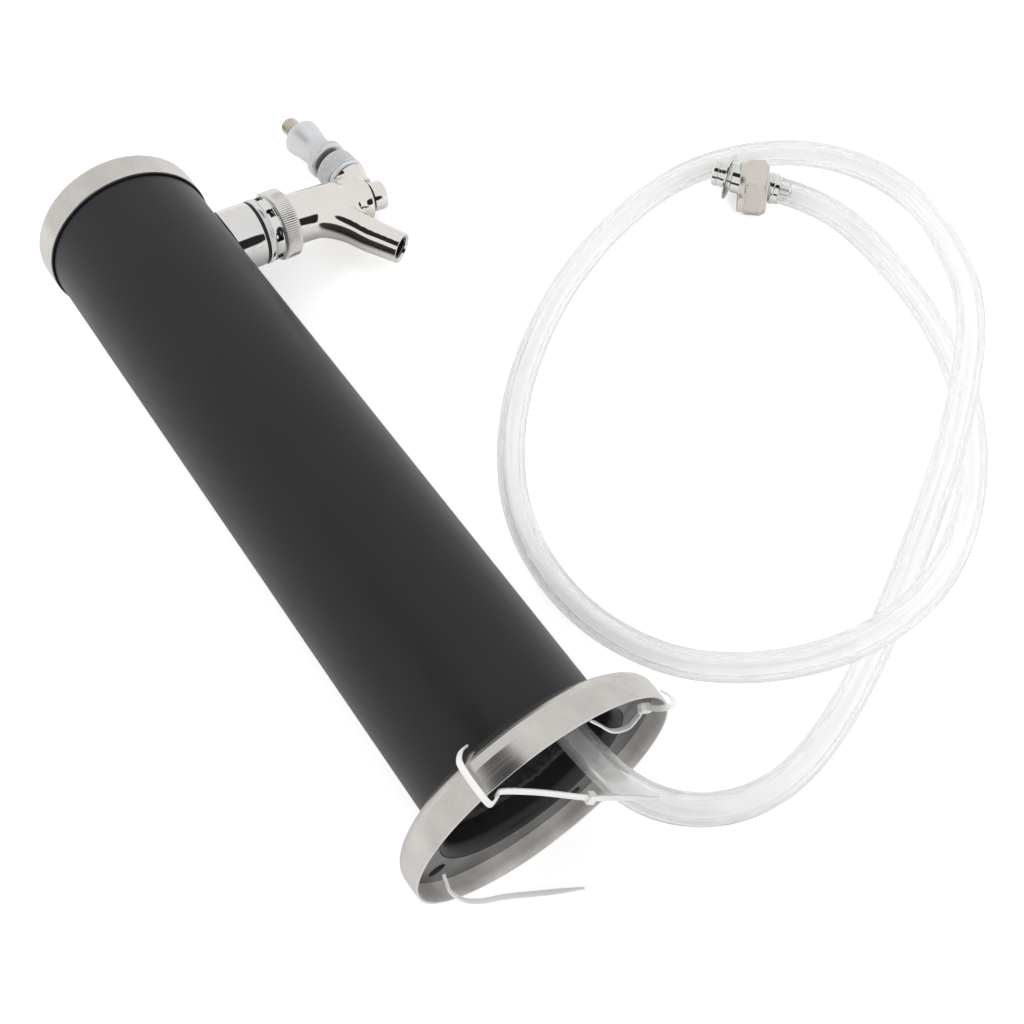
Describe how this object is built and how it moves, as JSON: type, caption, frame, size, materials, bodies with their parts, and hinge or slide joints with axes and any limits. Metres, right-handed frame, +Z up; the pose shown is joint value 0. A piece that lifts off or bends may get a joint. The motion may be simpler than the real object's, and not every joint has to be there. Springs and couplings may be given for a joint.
{
  "type": "draft beer tower with beer line",
  "caption": "Slim column draft beer tower lying on its side, with a chrome lever faucet, a round base flange and a coiled clear beer line ending in a coupling.",
  "frame": {"origin": "centre of the tower's bounding box on the floor it lies on, measured without the beer line and its fitting", "axes": "+X along the tower from its cap towards its base, +Y towards the faucet, +Z up"},
  "size_m": [0.4119, 0.3806, 0.1114],
  "materials": {
    "black_paint": "satin",
    "brushed_stainless": "brushed",
    "grey_plate": "matt",
    "foam": "foam",
    "black_rubber": "matt",
    "chrome": "polished",
    "satin_chrome": "satin",
    "zinc": "turned",
    "brass": "turned",
    "nickel": "plated",
    "nylon": "smooth",
    "clear_vinyl": "clear"
  },
  "bodies": {
    "tower": {"column_tube": "black_paint", "base_flange": "brushed_stainless", "mounting_plate": "grey_plate", "foam_liner": "foam", "shank_sleeve": "chrome", "shank": "chrome", "shank_washer": "black_rubber", "saddle_washer": "zinc", "shank_lock_nut": "brass", "line_elbow": "zinc", "line_clamp": "zinc", "faucet_gasket": "black_rubber", "faucet_body": "chrome", "bonnet": "chrome", "friction_ring": "nylon", "ball_washer": "black_rubber", "beer_hose": "clear_vinyl", "tailpiece": "chrome", "tail_collar": "chrome", "tie_low": "nylon", "tie_outer": "nylon", "tie_far": "nylon"},
    "lever": {"lever": "zinc", "lever_ferrule": "satin_chrome"},
    "shaft": {"faucet_shaft": "zinc", "seat_washer": "black_rubber", "shaft_nut": "brass"},
    "coupling_nut": {"coupling_nut": "chrome"},
    "coupler_nut": {"coupler_nut": "nickel"},
    "cap": {"top_cap": "brushed_stainless", "cap_seal": "black_rubber"}
  },
  "joints": [
    {"name": "lever_tilt", "type": "hinge", "parent": "tower", "child": "lever", "pos_m": [-0.1427, 0.0765, 0.01174], "axis": [0.0475, -0.2588, -0.9648], "range_deg": [0, 20]},
    {"name": "shaft_slide", "type": "slide", "parent": "tower", "child": "shaft", "axis": [-0.0997, -0.9623, 0.2532], "range_m": [0, 0.0044]},
    {"name": "coupling_nut_turn", "type": "hinge", "parent": "tower", "child": "coupling_nut", "pos_m": [-0.13382, 0.03072, 0.02446], "axis": [0.0127, 0.9659, -0.2585], "continuous": true},
    {"name": "coupler_nut_turn", "type": "hinge", "parent": "tower", "child": "coupler_nut", "pos_m": [-0.015, 0.22865, 0.0124], "axis": [0.7022, 0.712, 0], "continuous": true},
    {"name": "cap_lift", "type": "slide", "parent": "tower", "child": "cap", "axis": [-0.9988, 0, -0.0492], "range_m": [0, 0.02]}
  ],
  "couplings": [
    {"joint": "shaft_slide", "follows": "lever_tilt", "m_per_rad": 0.01193}
  ]
}
